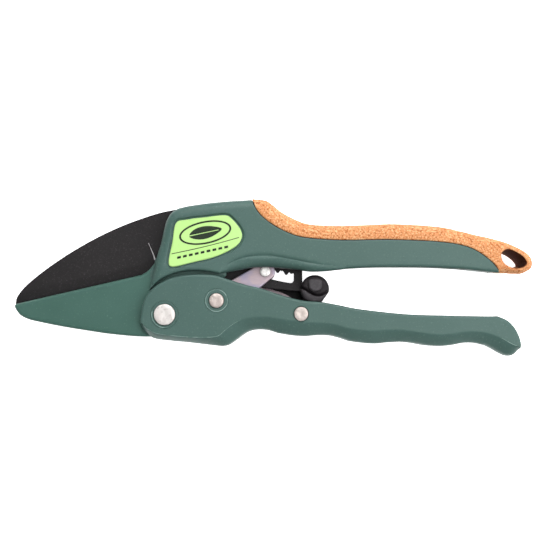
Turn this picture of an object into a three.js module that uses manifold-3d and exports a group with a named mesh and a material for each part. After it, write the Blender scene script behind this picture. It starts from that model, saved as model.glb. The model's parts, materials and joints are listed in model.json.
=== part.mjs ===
// Ratchet anvil pruner lying on its side: +X along the handles, +Z up through the thickness.
// The origin is on the main pivot's axis, in the plane that the tool rests on. Millimetres.
import * as THREE from "three";
import { mergeVertices } from "three/addons/utils/BufferGeometryUtils.js";
import Module from "manifold-3d";

const wasm = await Module();
wasm.setup();

// ---- driving dimensions ----
const GAP = 0.3;                      // clearance between neighbouring pieces
const HALF = 10;                      // half of the tool's thickness
const MID = HALF;                     // height of the middle plane above the rest plane
const JAW_HALF = 6;                   // half of the anvil jaw's thickness
const CHANNEL_HALF = 6.4;             // half width of the lower handle's channel
const CAVITY_HALF = 5.2;              // half width of the hollow in the upper handle
const BLADE_HALF = 1.2;
const LINK_INNER = 1.6;
const LINK_OUTER = 3.4;

const MAIN = [0, 0];                  // main pivot
const LINK_PIVOT = [20.6, 5.6];
const LINK_PIN = [39.9, 17.6];
const CATCH_PIVOT = [54.3, 0.3];
const BLADE_PIVOT = [14, 26.6];
const KNOB = [60, 10.4];

const MAIN_SHAFT_R = 2.6;
const SMALL_SHAFT_R = 1.8;
const PIN_SHAFT_R = 1.25;
const MAIN_HEAD_R = 4.2;
const LINK_HEAD_R = 2.9;
const CATCH_HEAD_R = 2.8;
const MAIN_RING_R = 5.3;
const LINK_RING_R = 4.5;
const HEAD_THICK = 1.1;
const RING_THICK = 0.7;
const PIN_HEAD_R = 2.1;
const SPACER_R = 3.6;
const HEAD_PROUD = 0.9;               // how far the front rivet heads stand out
const SEAT_ROOM = 0.4;                // clearance under a ring or head in its seat
const LEVER_HALF = 2.2;
const LEAF_LOW = -6.1;
const LEAF_THICK = 0.8;
const LABEL_DEPTH = 1.1;
const LABEL_HALF = 0.35;
const PAD_HALF = 0.5;
const KNOB_BEVEL = 1.1;
const TONGUE_HALF = 4.6;
const TONGUE_HIGH = 2.6;
const SPRING_ROOM_R = 6.6;
const SPRING_ROOM_HALF = 3.1;
const STRIP_HALF = 4.2;
const KNOB_R = 5.8;
const KNOB_HALF = 5.6;
const SPRING_SIDES = 6;
const SLOPE = 4.6;                    // width of the slope along the lower handle's underside

// ---- solids ----
function solidOf(geometry) {
  const bare = geometry.index ? geometry.toNonIndexed() : geometry.clone();
  bare.deleteAttribute("normal");
  bare.deleteAttribute("uv");
  const merged = mergeVertices(bare, 1e-4);
  const mesh = new wasm.Mesh({
    numProp: 3,
    vertProperties: new Float32Array(merged.attributes.position.array),
    triVerts: new Uint32Array(merged.index.array),
  });
  return new wasm.Manifold(mesh);
}

function geometryOf(solid) {
  const mesh = solid.getMesh();
  const geometry = new THREE.BufferGeometry();
  geometry.setAttribute("position", new THREE.BufferAttribute(new Float32Array(mesh.vertProperties), 3));
  geometry.setIndex(new THREE.BufferAttribute(new Uint32Array(mesh.triVerts), 1));
  geometry.computeVertexNormals();
  return geometry;
}

// A flat outline as a solid between two heights measured from the middle plane.
function slab(shape, low, high, segments = 3) {
  const options = { depth: high - low, bevelEnabled: false, curveSegments: segments };
  const geometry = new THREE.ExtrudeGeometry(shape, options);
  geometry.translate(0, 0, MID + low);
  return solidOf(geometry);
}

// The same, with its two rims sloped in by `size` over the height `rise`.
function slopedSlab(shape, half, size, rise, steps = 1, segments = 3) {
  const options = {
    depth: 2 * (half - rise),
    bevelEnabled: true,
    bevelSize: size,
    bevelOffset: -size,
    bevelThickness: rise,
    bevelSegments: steps,
    curveSegments: segments,
  };
  const geometry = new THREE.ExtrudeGeometry(shape, options);
  geometry.translate(0, 0, MID - half + rise);
  return solidOf(geometry);
}

function drum([x, y], radius, low, high, sides = 24) {
  const geometry = new THREE.CylinderGeometry(radius, radius, high - low, sides);
  geometry.rotateX(Math.PI / 2);
  geometry.translate(x, y, MID + (low + high) / 2);
  return solidOf(geometry);
}

// A body turned about the upright line through a point, from [radius, height] pairs.
function turned([x, y], profile, sides = 24) {
  const points = profile.map(([radius, height]) => new THREE.Vector2(radius, height));
  const geometry = new THREE.LatheGeometry(points, sides);
  geometry.rotateX(Math.PI / 2);
  geometry.translate(x, y, MID);
  return solidOf(geometry);
}

// ---- outlines ----
const vectors = (points) => points.map(([x, y]) => new THREE.Vector2(x, y));

function polygon(points) {
  return new THREE.Shape(vectors(points));
}

function closedCurve(points) {
  const curve = new THREE.CatmullRomCurve3(points.map(([x, y]) => new THREE.Vector3(x, y, 0)), true);
  const sampled = curve.getPoints(points.length * 3).slice(0, -1);
  return new THREE.Shape(sampled.map((point) => new THREE.Vector2(point.x, point.y)));
}

const JAW_TIP = [-60.6, 4.5];
const JAW_HEEL = [-10.1, 16.2];
const BLADE_TIP_X = -62;
const jawSlope = (JAW_HEEL[1] - JAW_TIP[1]) / (JAW_HEEL[0] - JAW_TIP[0]);

// Height of the jaw's cutting face at a station along the tool.
const jawTop = (x) => JAW_TIP[1] + jawSlope * (x - JAW_TIP[0]);

// The cork's lower border, from the top edge down and along to the end of the handle.
const CORK_BORDER = [
  [34.5, 47], [36.7, 41.7], [41.7, 36.9], [48.9, 32.9], [56.2, 30.8], [71.1, 29.8], [89.4, 30],
  [109.8, 29.1], [121.7, 26.8], [129.9, 21.6], [134.2, 16.2],
];
const borderCurve = new THREE.SplineCurve(vectors(CORK_BORDER));

function thickBodyShape() {
  const shape = new THREE.Shape();
  shape.moveTo(34.2, 46.1);
  shape.splineThru(vectors([[24.7, 45.5], [17.4, 44.8], [4.3, 42.5], [-0.1, 37.4], [-1.8, 29.4],
    [-3.9, 22.2], [-5.6, 13.4], [-6.4, 9.8]]));
  shape.lineTo(-4.8, 11.7);
  shape.splineThru(vectors([[1.5, 15.8], [11.1, 17.8], [21.3, 16.6]]));
  shape.splineThru(vectors([[30.3, 18.2], [40.3, 19.3], [52.7, 18], [65, 17.4], [83.4, 18.8], [104.7, 18.8],
    [125.9, 17.4], [133.4, 16.6]]));
  const border = borderCurve.getPoints(30).reverse();
  border.slice(1, -2).forEach((point) => shape.lineTo(point.x - GAP / 2, point.y - GAP / 2));
  return shape;
}

// Carries the rounded front, top and lip edges; it runs past the body everywhere else.
function softEdgeShape() {
  const shape = new THREE.Shape();
  shape.moveTo(44, 47.8);
  shape.lineTo(34.3, 46.1);
  shape.splineThru(vectors([[24.7, 45.5], [14, 44.5], [4.6, 42], [-0.2, 36.6], [-1.8, 29.4],
    [-3.9, 22.2]]));
  shape.lineTo(-6.6, 10);
  shape.lineTo(-10, -8);
  shape.lineTo(16, -4);
  shape.lineTo(21.3, 16.2);
  shape.splineThru(vectors([[30.3, 18.2], [40.3, 19.3], [52.7, 18], [64, 16.8]]));
  shape.lineTo(90, 8);
  shape.lineTo(160, 8);
  shape.lineTo(160, 60);
  shape.lineTo(60, 60);
  return shape;
}

function jawShape() {
  const shape = new THREE.Shape();
  shape.moveTo(...JAW_HEEL);
  shape.lineTo(...JAW_TIP);
  shape.splineThru(vectors([[-61, 3.5], [-60.1, 1.7], [-58.3, -0.3], [-55.3, -1.7], [-52.7, -2.4]]));
  shape.splineThru(vectors([[-37.2, -5.4], [-22.6, -7.6], [-12, -8.6], [-5, -8.7]]));
  shape.splineThru(vectors([[0, -8.8], [5, -7.4], [8.6, -4], [10.4, 0], [11.4, 6],
    [12.4, 11.6], [14.5, 13.6], [19, 14.4], [23, 15]]));
  shape.lineTo(24.4, 16.6);
  shape.lineTo(24, 24);
  shape.lineTo(0, 26);
  shape.lineTo(-4.3, 22.9);
  shape.splineThru(vectors([[-5, 20.9], [-7.3, 18.1], JAW_HEEL]));
  return shape;
}

// The cork's raised core, which the handle carries up inside the grip.
function tongueShape(height, pad) {
  const low = borderCurve.getPoints(40).slice(13, 34);
  const shape = new THREE.Shape();
  shape.moveTo(low[0].x - pad, low[0].y - 2);
  low.forEach((point) => shape.lineTo(point.x, point.y - 2));
  const last = low[low.length - 1];
  shape.lineTo(last.x + pad, last.y - 2);
  [...low].reverse().forEach((point) => shape.lineTo(point.x + pad, point.y + height + pad));
  shape.lineTo(low[0].x - pad, low[0].y + height + pad);
  return shape;
}

function gripShape() {
  const shape = new THREE.Shape();
  shape.moveTo(35.4, 46.8);
  shape.splineThru(vectors([[40.2, 46.2], [46.5, 41.5], [51.4, 38.8], [56.3, 36.9], [62, 35.9],
    [71.3, 35.7], [89.9, 36.5], [110.4, 35.2], [124.5, 31.9], [137, 28.7], [143.1, 25.9], [147.4, 21.6],
    [145.9, 17.7], [142.6, 16.2], [139.1, 16.5], [134.6, 16.4]]));
  const border = borderCurve.getPoints(30).reverse();
  border.slice(1, -2).forEach((point) => shape.lineTo(point.x + GAP / 2, point.y + GAP / 2));
  return shape;
}

const hangHoleShape = () => closedCurve([[134.4, 23.8], [136.2, 26], [139.1, 25.7], [142.9, 23.3],
  [144.5, 20.6], [142.8, 18.8], [139.2, 18.7], [135.7, 20.5]]);

const labelPoints = [[4.2, 36.6], [8.8, 38.1], [16, 39], [23.6, 39.8], [26.6, 38.4], [30.2, 33.8],
  [30.4, 30.2], [27.6, 26.8], [19.9, 23.1], [10.3, 20.7], [3, 19.1], [1.4, 21.3], [2.8, 28.7]];

function bladeShape() {
  const shape = new THREE.Shape();
  const edgeLift = GAP;
  shape.moveTo(BLADE_TIP_X, jawTop(BLADE_TIP_X) + edgeLift);
  shape.splineThru(vectors([[-60.2, 9.1], [-56, 13.6], [-47.8, 20.1], [-39.7, 25.6], [-31.5, 30.4],
    [-15.2, 38], [-6.6, 41], [3.4, 43.4]]));
  shape.splineThru(vectors([[10, 41.6], [18, 37], [24, 31], [34, 26.4], [44, 24.4], [52, 22.6],
    [55, 20.4]]));
  shape.lineTo(55, 10.4);
  shape.lineTo(54.2, 9.6);
  shape.splineThru(vectors([[46, 10.4], [38.5, 11.3], [30, 12.2], [24.5, 13], [20.5, 14], [18.6, 15.6],
    [17.2, 17.6], [14, 18.7], [4, 19.8], [-3.6, 20.4]]));
  shape.splineThru(vectors([[-6.6, 18.2], [-10.1, jawTop(-10.1) + edgeLift]]));
  shape.holes.push(toothSlotPath());
  return shape;
}

// The slot follows the link pin's path; its upper edge carries pointed teeth, one per step.
function toothSlotPath() {
  const PITCH = 3.5;
  const TEETH = 2;
  const FIRST_TOOTH = 44.9;
  const upper = (x) => 19.6 - 0.17 * (x - 40) - 0.004 * (x - 40) ** 2;
  const path = new THREE.Path();
  path.moveTo(37.8, 18.4);
  path.lineTo(38.4, 16.6);
  path.splineThru(vectors([[41, 14.9], [45, 13.7], [48.5, 12.9], [50.6, 12.8]]));
  path.lineTo(51.5, 13.8);
  path.lineTo(51.5, 17.2);
  for (let tooth = TEETH - 1; tooth >= 0; tooth -= 1) {
    const tip = FIRST_TOOTH + tooth * PITCH;
    path.lineTo(tip + 1.2, upper(tip + 1.2));
    path.lineTo(tip, upper(tip) - 1.8);
    path.lineTo(tip - 0.4, upper(tip) - 0.1);
    path.lineTo(tip - 1.6, upper(tip - 1.6) + 0.2);
  }
  path.lineTo(38.4, 19.7);
  return path;
}

const LOWER_TOP = [[-9.1, 3], [-7.6, 7], [-4.7, 10.6], [0.6, 14], [6.4, 15.6], [13.2, 16.1], [19.9, 15.7],
  [26.2, 13.8], [32, 12], [38, 10.6], [46.6, 7.8], [54.7, 5.7], [62.8, 5], [77.8, 2.2], [95, 0.3],
  [111.3, -0.3], [131, -0.5]];
const LOWER_END = [[137.2, -2.9], [140.4, -7], [141.9, -12], [140.5, -14.7], [136.6, -16.5], [132, -14.4],
  [127.7, -12.1]];
const LOWER_BOTTOM = [[119.3, -11.2], [109.3, -12.5], [94.3, -10.8], [83.8, -11.5], [73.9, -10.4],
  [65.9, -8.2], [55.8, -8.5], [45.1, -7.2], [37.9, -5.7], [33, -6.7], [28.4, -9.9], [25.2, -11.9],
  [22.8, -12.5], [9.6, -11]];
const LOWER_LOBE = [[1.6, -10.3], [-5.8, -8.7], [-9.4, -4.8], [-9.6, -0.4]];

function lowerShape() {
  const shape = new THREE.Shape();
  shape.moveTo(...LOWER_LOBE[3]);
  shape.splineThru(vectors(LOWER_TOP));
  shape.splineThru(vectors(LOWER_END));
  shape.splineThru(vectors(LOWER_BOTTOM));
  shape.splineThru(vectors(LOWER_LOBE));
  return shape;
}

// The outline that carries the wide slope along the underside: past the true one at the top and lobe.
function lowerSlopeShape(width) {
  const shape = new THREE.Shape();
  shape.moveTo(-30, 40);
  shape.lineTo(160, 40);
  shape.lineTo(143.3, -9);
  shape.lineTo(143.3, -14.6);
  shape.lineTo(137.4, -17.2);
  shape.lineTo(127.7, -12.3);
  shape.splineThru(vectors(LOWER_BOTTOM.slice(0, 10)));
  shape.lineTo(28.4, -9.9 - width * 0.2);
  shape.lineTo(22.8, -12.7 - width * 0.3);
  shape.lineTo(9.6, -11.4 - width * 0.4);
  shape.lineTo(-30, -11.4 - width * 0.4);
  return shape;
}

function channelShape() {
  const WEB = 3;
  const WEB_START = 3;
  const shape = new THREE.Shape();
  shape.moveTo(-14, 30);
  shape.lineTo(-14, -13);
  shape.lineTo(WEB_START, -13);
  shape.lineTo(WEB_START, -9.1);
  shape.splineThru(vectors([[6, -8.9], [9.6, -8.6], [19.7, -8.4], [28.2, -7], [33, -4], [37.9, -2.7],
    [45.1, -4.2], [55.8, -5.5], [65.9, -5.2], [73.9, -7.4], [83.8, -8.5], [94.3, -7.8], [109.3, -9.5],
    [119.3, -8.2], [127.7, -9.1], [133, -9.5], [136, -8], [135.4, -5 + GAP]]));
  shape.lineTo(133 - WEB, -0.2);
  shape.lineTo(133 - WEB, 30);
  return shape;
}

// ---- pieces ----
function upperHandle() {
  const jaw = slopedSlab(jawShape(), JAW_HALF, 0.7, 0.7);
  let body = slab(thickBodyShape(), -HALF, HALF).intersect(slopedSlab(softEdgeShape(), HALF, 2.6, 2.8, 2));
  const bladeSlot = polygon([[-70, jawTop(-70) + 0.01], [-10, jawTop(-10) + 0.01], [-6.4, 18], [-3, 19.6],
    [6, 18.6], [13, 16], [13, 8], [60, 4], [60, 27], [30, 30], [22, 36], [22, 60], [-70, 60]]);
  const cavity = polygon([[12.6, -20], [12.6, 14.5], [22, 19.5], [34, 24], [58, 25], [66, 22.6], [84, 24.4],
    [104, 24.4], [122, 22.4], [122, 6], [80, 0], [40, -20]]);
  const tongue = slab(tongueShape(TONGUE_HIGH, 0), -TONGUE_HALF, TONGUE_HALF);
  const springRoom = drum(MAIN, SPRING_ROOM_R, -SPRING_ROOM_HALF, SPRING_ROOM_HALF);
  const springGate = polygon([[-6.4, 0], [2, -9.8], [13, -9.8], [13, 3], [4, 6]]);
  const gripSpan = polygon([[40, 20], [130, 20], [130, 50], [40, 50]]);
  body = body.add(jaw).add(tongue.intersect(slab(gripSpan, -HALF, HALF)));
  body = body.subtract(slab(bladeSlot, -BLADE_HALF - GAP, BLADE_HALF + GAP));
  body = body.subtract(slab(cavity, -CAVITY_HALF, CAVITY_HALF));
  body = body.subtract(springRoom).subtract(slab(springGate, -SPRING_ROOM_HALF, SPRING_ROOM_HALF));
  body = body.subtract(drum(MAIN, MAIN_SHAFT_R + GAP, -HALF, HALF));
  body = body.subtract(drum(BLADE_PIVOT, SMALL_SHAFT_R + GAP, -8.8, 8.8));
  body = body.subtract(slab(closedCurve(labelPoints), HALF - LABEL_DEPTH, HALF + 1));
  body = body.subtract(slab(stripShape(GAP), -STRIP_HALF - GAP, STRIP_HALF + GAP));
  return body;
}

function stripShape(pad) {
  const depth = 1.6;
  const start = -57;
  const end = -12;
  return polygon([
    [start - pad, jawTop(start - pad) + (pad > 0 ? 1 : 0)],
    [start - pad, jawTop(start - pad) - depth - pad],
    [end + pad, jawTop(end + pad) - depth - pad],
    [end + pad, jawTop(end + pad) + (pad > 0 ? 1 : 0)],
  ]);
}

function corkGrip() {
  const grip = slopedSlab(gripShape(), HALF, 0.7, 0.9);
  const border = slab(gripShape(), -HALF, HALF).intersect(slab(borderBand(), -HALF, HALF));
  const tongueRoom = slab(tongueShape(TONGUE_HIGH, GAP), -TONGUE_HALF - GAP, TONGUE_HALF + GAP);
  return grip.add(border).subtract(tongueRoom).subtract(slab(hangHoleShape(), -HALF - 1, HALF + 1));
}

// A band along the border, where the grip meets the handle square instead of sloped.
function borderBand() {
  const low = borderCurve.getPoints(30).slice(4, 28);
  const points = low.map((point) => [point.x, point.y - 2]);
  const top = low.map((point) => [point.x + 1.2, point.y + 2]).reverse();
  return polygon([...points, ...top]);
}

function labelPlate() {
  const shape = closedCurve(labelPoints);
  return slopedSlab(shape, LABEL_HALF, 0.4, 0.1).translate([0, 0, HALF - LABEL_HALF - 0.1]);
}

function lowerHandle() {
  let body = slopedSlab(lowerShape(), HALF, 0.6, 0.6);
  body = body.intersect(slopedSlab(lowerSlopeShape(SLOPE), HALF, SLOPE, 3.2));
  body = body.subtract(slab(channelShape(), -CHANNEL_HALF, CHANNEL_HALF));
  const ringSeat = HALF - RING_THICK - HEAD_THICK - SEAT_ROOM;
  const headSeat = HALF - HEAD_THICK - SEAT_ROOM;
  for (const side of [-1, 1]) {
    body = body.subtract(facing(side, MAIN, MAIN_RING_R + GAP, ringSeat, HALF + 1));
    body = body.subtract(facing(side, LINK_PIVOT, LINK_RING_R + GAP, ringSeat, HALF + 1));
    body = body.subtract(facing(side, CATCH_PIVOT, CATCH_HEAD_R + GAP, headSeat, HALF + 1));
  }
  body = body.subtract(drum(MAIN, MAIN_SHAFT_R + GAP, -HALF, HALF));
  body = body.subtract(drum(LINK_PIVOT, SMALL_SHAFT_R + GAP, -HALF, HALF));
  return body.subtract(drum(CATCH_PIVOT, SMALL_SHAFT_R + GAP, -HALF, HALF));
}

// A disc on the front (side 1) or the back (side -1), between two heights out from the middle.
function facing(side, place, radius, low, high, sides = 24) {
  return side > 0 ? drum(place, radius, low, high, sides) : drum(place, radius, -high, -low, sides);
}

// A shaft with a domed head at each end; the heads' outer faces lie at `front` and `back`.
function rivet(place, shaft, head, front, back, sides = 24) {
  const dome = 0.35;
  const backHead = [[0, -back], [head - 0.5, -back], [head, -back + dome], [head, -back + HEAD_THICK]];
  const frontHead = [[head, front - HEAD_THICK], [head, front - dome], [head - 0.5, front], [0, front]];
  const neck = [[shaft, -back + HEAD_THICK], [shaft, front - HEAD_THICK]];
  return turned(place, [...backHead, ...neck, ...frontHead], sides);
}

function ring(place, inner, outer, low, high, sides = 24) {
  return turned(place, [[inner, low], [outer, low], [outer, high], [inner, high], [inner, low]], sides);
}

function linkShape() {
  const axis = Math.atan2(LINK_PIN[1] - LINK_PIVOT[1], LINK_PIN[0] - LINK_PIVOT[0]);
  const shape = new THREE.Shape();
  shape.absarc(...LINK_PIVOT, 4.6, axis + Math.PI / 2, axis - Math.PI / 2, false);
  shape.lineTo(37.8, 11);
  shape.absarc(...LINK_PIN, 3.9, axis - 1.1, axis + Math.PI / 2, false);
  return shape;
}

function linkPlate(side) {
  const [low, high] = side > 0 ? [LINK_INNER, LINK_OUTER] : [-LINK_OUTER, -LINK_INNER];
  const plate = slab(linkShape(), low, high, 8);
  const pivotHole = drum(LINK_PIVOT, SMALL_SHAFT_R + GAP, -HALF, HALF);
  return plate.subtract(pivotHole).subtract(drum(LINK_PIN, PIN_SHAFT_R + GAP, -HALF, HALF));
}

function blade() {
  const plate = slopedSlab(bladeShape(), BLADE_HALF, 0.1, 0.1);
  return plate.subtract(drum(BLADE_PIVOT, SMALL_SHAFT_R + GAP, -3, 3));
}

function catchLever() {
  const arm = new THREE.Shape();
  arm.moveTo(50.9, 0.6);
  arm.splineThru(vectors([[52, -2.4], [54.6, -3.2], [57.4, -1.6], [60, 3], [64.6, 8]]));
  arm.lineTo(63.4, 12.4);
  arm.lineTo(57, 12);
  arm.splineThru(vectors([[55.6, 7], [52.6, 4], [50.9, 0.6]]));
  return slab(arm, -LEVER_HALF, LEVER_HALF).subtract(drum(CATCH_PIVOT, SMALL_SHAFT_R + GAP, -5, 5));
}

// A stubby drum across the handle, cut flat at its lower right and slotted for the arm and blade tail.
function thumbButton() {
  const profile = [[0, -KNOB_HALF], [KNOB_R - KNOB_BEVEL, -KNOB_HALF], [KNOB_R, -KNOB_HALF + KNOB_BEVEL],
    [KNOB_R, KNOB_HALF - KNOB_BEVEL], [KNOB_R - KNOB_BEVEL, KNOB_HALF], [0, KNOB_HALF]];
  const flat = polygon([[65.6, 10.4], [62.2, 4.8], [59, 2], [72, 2], [72, 10.4]]);
  const armRoom = polygon([[50, 0], [70, 0], [66.2, 8.2], [63.9, 12.8],
    [57.6, 12.8], [57.6, 17], [50, 17]]);
  let knob = turned(KNOB, profile, 28);
  knob = knob.subtract(slab(flat, -HALF, HALF));
  return knob.subtract(slab(armRoom, -LEVER_HALF - GAP, LEVER_HALF + GAP));
}

// A leaf that reaches along behind the blade's tail, standing up out of the channel.
function catchLeaf() {
  const shape = new THREE.Shape();
  shape.moveTo(54.2, 10.4);
  shape.splineThru(vectors([[46, 11], [38, 11.8], [36.4, 10.4]]));
  shape.splineThru(vectors([[40, 8.4], [46, 6.8], [51, 5.8], [54.2, 5.4]]));
  return slab(shape, LEAF_LOW, LEAF_LOW + LEAF_THICK);
}

function thumbPad() {
  const shape = polygon([[57.3, 13.8], [57.9, 10.2], [60, 9.1], [62.2, 9.8], [62.9, 13.8], [60.2, 14.5]]);
  return slopedSlab(shape, PAD_HALF, 0.4, 0.4).translate([0, 0, KNOB_HALF + GAP + PAD_HALF]);
}

// A round-wire torsion spring: a foot, `turns` of coil about an upright axis, and a leg.
function torsionSpring([x, y], radius, wire, turns, low, foot, leg) {
  const STEPS = 12;
  const points = [];
  const start = foot.angle;
  const total = turns * 2 * Math.PI;
  const pitch = wire + 0.35;
  const put = (r, angle, z) => {
    points.push(new THREE.Vector3(x + r * Math.cos(angle), y + r * Math.sin(angle), MID + z));
  };
  put(radius + foot.length, start - 0.25, low + wire / 2);
  const count = Math.round(turns * STEPS);
  for (let i = 0; i <= count; i += 1) {
    put(radius, start + (total * i) / count, low + wire / 2 + (pitch * turns * i) / count);
  }
  points.push(new THREE.Vector3(leg[0], leg[1], points[points.length - 1].z));
  const path = new THREE.CatmullRomCurve3(points, false, "catmullrom", 0.35);
  const section = new THREE.Shape();
  section.absarc(0, 0, wire / 2, 0, 2 * Math.PI, false);
  const options = { steps: count + 8, curveSegments: SPRING_SIDES, extrudePath: path, bevelEnabled: false };
  return solidOf(new THREE.ExtrudeGeometry(section, options));
}

// ---- materials ----
const paint = (color, roughness = 0.5, metalness = 0.1) =>
  new THREE.MeshStandardMaterial({ color, roughness, metalness });
const GREEN = paint(0x5d7a73, 0.55);
const STRIP_GREEN = paint(0x8fb0a6, 0.5);
const CORK = paint(0xd9925a, 0.85, 0);
const LIME = paint(0xbcf373, 0.4, 0);
const BLACK = paint(0x322e2f, 0.55, 0.4);
const ZINC = paint(0xe6e0dc, 0.35, 0.9);
const SATIN = paint(0xbfb5b4, 0.35, 0.9);
const DARK = paint(0x3a3436, 0.6, 0.1);
const PAD_GREY = paint(0x8d8586, 0.6, 0.1);
const SPRING_STEEL = paint(0x8c8c90, 0.35, 0.9);

// ---- assembly ----
const tool = new THREE.Group();

function place(name, solid, material) {
  const mesh = new THREE.Mesh(geometryOf(solid), material);
  mesh.name = name;
  tool.add(mesh);
}

place("upper_handle", upperHandle(), GREEN);
place("anvil_strip", slab(stripShape(0), -STRIP_HALF, STRIP_HALF), STRIP_GREEN);
place("cork_grip", corkGrip(), CORK);
place("label_plate", labelPlate(), LIME);
place("blade", blade(), BLACK);
place("blade_pivot_pin", drum(BLADE_PIVOT, SMALL_SHAFT_R, -8.6, 8.6), ZINC);

place("lower_handle", lowerHandle(), GREEN);
place("main_pivot_rivet", rivet(MAIN, MAIN_SHAFT_R, MAIN_HEAD_R, HALF + HEAD_PROUD, HALF), ZINC);
place("link_rivet", rivet(LINK_PIVOT, SMALL_SHAFT_R, LINK_HEAD_R, HALF + HEAD_PROUD, HALF), ZINC);
place("catch_pin", rivet(CATCH_PIVOT, SMALL_SHAFT_R, CATCH_HEAD_R, HALF + HEAD_PROUD, HALF), ZINC);
const pinReach = LINK_OUTER + GAP + HEAD_THICK;
place("link_pin", rivet(LINK_PIN, PIN_SHAFT_R, PIN_HEAD_R, pinReach, pinReach, 16), ZINC);

const ringTop = { 1: HALF + HEAD_PROUD - HEAD_THICK - GAP, "-1": HALF - HEAD_THICK - GAP };
for (const [side, word] of [[1, "front"], [-1, "back"]]) {
  const outer = ringTop[side];
  const [low, high] = side > 0 ? [outer - RING_THICK, outer] : [-outer, -outer + RING_THICK];
  place(`pivot_washer_${word}`, ring(MAIN, MAIN_SHAFT_R + GAP, MAIN_RING_R, low, high), GREEN);
  place(`link_washer_${word}`, ring(LINK_PIVOT, SMALL_SHAFT_R + GAP, LINK_RING_R, low, high), GREEN);
  place(`link_plate_${word}`, linkPlate(side), SATIN);
  const inner = LINK_OUTER + GAP;
  const wall = CHANNEL_HALF - GAP;
  const [near, far] = side > 0 ? [inner, wall] : [-wall, -inner];
  place(`link_spacer_${word}`, ring(LINK_PIVOT, SMALL_SHAFT_R + GAP, SPACER_R, near, far), ZINC);
}

place("catch_lever", catchLever(), DARK);
place("thumb_button", thumbButton(), DARK);
place("catch_leaf", catchLeaf(), SATIN);
place("thumb_pad", thumbPad(), PAD_GREY);
const returnFoot = { angle: 2.6, length: 1 };
const linkFoot = { angle: 0.4, length: 4 };
const catchFoot = { angle: 3.6, length: 1 };
place("return_spring", torsionSpring(MAIN, 4.6, 1.2, 2.7, -2.5, returnFoot, [13.6, -7.2]), SPRING_STEEL);
place("link_spring", torsionSpring(LINK_PIVOT, 2.9, 0.7, 1.7, -1.3, linkFoot, [24, -4.6]), SPRING_STEEL);
place("catch_spring", torsionSpring(CATCH_PIVOT, 2.9, 0.9, 2.2, -6.1, catchFoot, [61, -2.6]), SPRING_STEEL);

export default tool;
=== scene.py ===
import json
import math

import bpy
import numpy as np
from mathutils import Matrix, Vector, noise
from mathutils.geometry import delaunay_2d_cdt


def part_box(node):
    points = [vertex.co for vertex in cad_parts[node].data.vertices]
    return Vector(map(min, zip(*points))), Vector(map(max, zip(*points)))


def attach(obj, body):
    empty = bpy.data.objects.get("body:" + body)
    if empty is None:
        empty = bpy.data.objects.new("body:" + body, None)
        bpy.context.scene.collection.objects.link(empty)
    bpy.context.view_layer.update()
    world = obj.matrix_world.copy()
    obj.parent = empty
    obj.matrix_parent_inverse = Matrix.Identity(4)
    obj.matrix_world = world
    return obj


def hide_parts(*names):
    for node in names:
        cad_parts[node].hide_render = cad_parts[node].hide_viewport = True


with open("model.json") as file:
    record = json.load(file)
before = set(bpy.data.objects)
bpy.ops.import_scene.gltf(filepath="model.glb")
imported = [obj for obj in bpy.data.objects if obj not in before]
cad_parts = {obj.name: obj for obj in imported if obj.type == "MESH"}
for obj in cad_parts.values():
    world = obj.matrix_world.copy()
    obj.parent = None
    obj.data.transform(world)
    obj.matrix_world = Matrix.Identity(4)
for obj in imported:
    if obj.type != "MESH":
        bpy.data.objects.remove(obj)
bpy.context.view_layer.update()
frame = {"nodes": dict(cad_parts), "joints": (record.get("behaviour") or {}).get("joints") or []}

MM = 0.001                      # every length below is in millimetres until a mesh is made

# ---- places and sizes from the frame ----
JOINT = {joint["name"]: joint for joint in frame["joints"]}


def joint_place(name):
    return np.array(JOINT[name]["pos_m"][:2]) / MM


def node_box(name):
    low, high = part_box(name)
    return np.array(low) / MM, np.array(high) / MM


def node_centre(name):
    low, high = node_box(name)
    return (low + high) / 2


def half_height(name):
    low, high = node_box(name)
    return (high[2] - low[2]) / 2


def levels(name):
    """How high a node's lowest and highest points lie over the middle of the tool."""
    low, high = node_box(name)
    return low[2] - MID, high[2] - MID


MID = node_centre("upper_handle")[2]
HALF = half_height("upper_handle")
BLADE_HALF = half_height("blade")
MAIN = joint_place("handle_pivot")
LINK_PIVOT = joint_place("link_pivot")
CATCH_PIVOT = joint_place("catch_pivot")
BLADE_PIVOT = joint_place("blade_pivot")
LINK_PIN = node_centre("link_pin")[:2]
KNOB = np.array([60.0, 10.4])
JAW_HALF = 6.0
CHEEK_FRONT = -6.4
SHAFT_ROOM = 2.9                # radii of the bores for the big and the small rivets
SMALL_SHAFT_ROOM = 2.1
MAIN_SEAT = 5.6                 # radii of the seats for the painted rings, and of the rivet heads
SMALL_SEAT = 4.8
MAIN_HEAD = 4.2
SMALL_HEAD = 2.9
CHANNEL_HALF = 6.4
CAVITY_HALF = 5.2


# ---- flat curves ----
def curve(points, per=6, closed=False):
    """A smooth curve through the points, as an array of points."""
    points = np.array(points, float)
    if closed:
        padded = np.vstack([points[-1], points, points[0], points[1]])
    else:
        padded = np.vstack([2 * points[0] - points[1], points, 2 * points[-1] - points[-2]])
    steps = np.linspace(0, 1, per, endpoint=False)[:, None]
    out = []
    for i in range(1, len(padded) - 2):
        a, b, c, d = padded[i - 1: i + 3]
        out.append(0.5 * (2 * b + (c - a) * steps + (2 * a - 5 * b + 4 * c - d) * steps ** 2
                          + (3 * b - a - 3 * c + d) * steps ** 3))
    out = np.vstack(out)
    return out if closed else np.vstack([out, points[-1]])


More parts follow.
